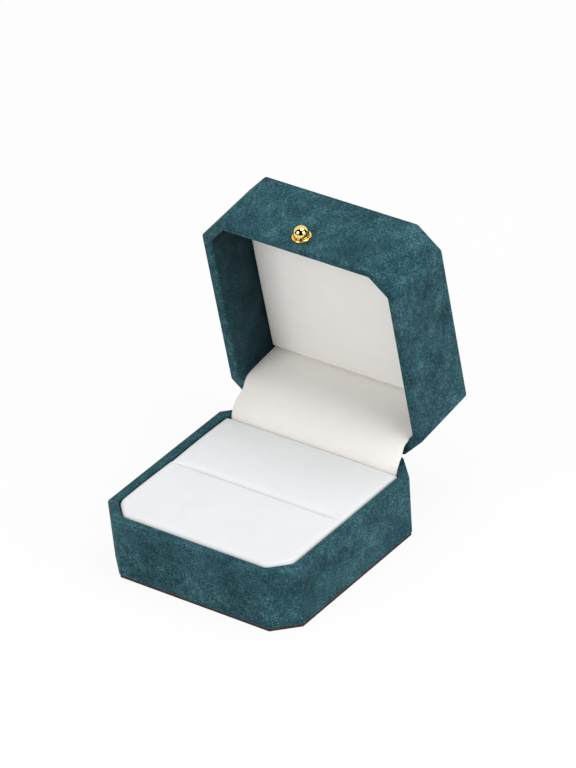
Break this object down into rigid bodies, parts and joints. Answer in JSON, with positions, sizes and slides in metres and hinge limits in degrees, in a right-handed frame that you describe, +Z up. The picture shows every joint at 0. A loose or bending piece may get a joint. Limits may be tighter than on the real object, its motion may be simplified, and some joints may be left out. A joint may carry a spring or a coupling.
{
  "type": "hinged ring box",
  "caption": "Octagonal leatherette ring box with a spring-hinged lid, a slotted velvet ring cushion, a padded lid lining and a small brass knob.",
  "frame": {"origin": "centre of the box's footprint on the table", "axes": "+Z up, +Y from the knob side to the hinge side, +X to the right seen from the front"},
  "size_m": [0.07, 0.0939, 0.0946],
  "materials": {
    "leatherette": "napped, mottled teal",
    "cushion_velvet": "white velvet",
    "lid_velvet": "warm white velvet",
    "foam": "cut foam",
    "card": "grey board",
    "foot_card": "dark brown board",
    "moulding": "moulded, matt",
    "hinge_steel": "stamped sheet",
    "spring_steel": "tempered strip",
    "polished_brass": "polished"
  },
  "bodies": {
    "base": {"foot_board": "foot_card", "base_shell": "moulding", "base_cover": "leatherette", "cushion_tray": "card", "front_foam": "foam", "rear_foam": "foam", "cushion_velvet": "cushion_velvet", "base_leaf": "hinge_steel", "base_leaf_rivets": "hinge_steel", "hinge_pin": "hinge_steel", "snap_spring": "spring_steel"},
    "lid": {"lid_shell": "moulding", "lid_cover": "leatherette", "panel_foam": "foam", "panel_card": "card", "panel_velvet": "lid_velvet", "lid_leaf": "hinge_steel", "lid_leaf_rivets": "hinge_steel", "knob_stud": "polished_brass", "knob_collar": "polished_brass", "knob_washer": "polished_brass", "hinge_cover_card": "card", "hinge_cover_velvet": "lid_velvet"}
  },
  "joints": [
    {"name": "lid_hinge", "type": "hinge", "parent": "base", "child": "lid", "pos_m": [0, 0.03475, 0.0211], "axis": [1, 0, 0], "range_deg": [0, 82.6], "deforming": ["hinge_cover_card", "hinge_cover_velvet", "snap_spring"]}
  ]
}
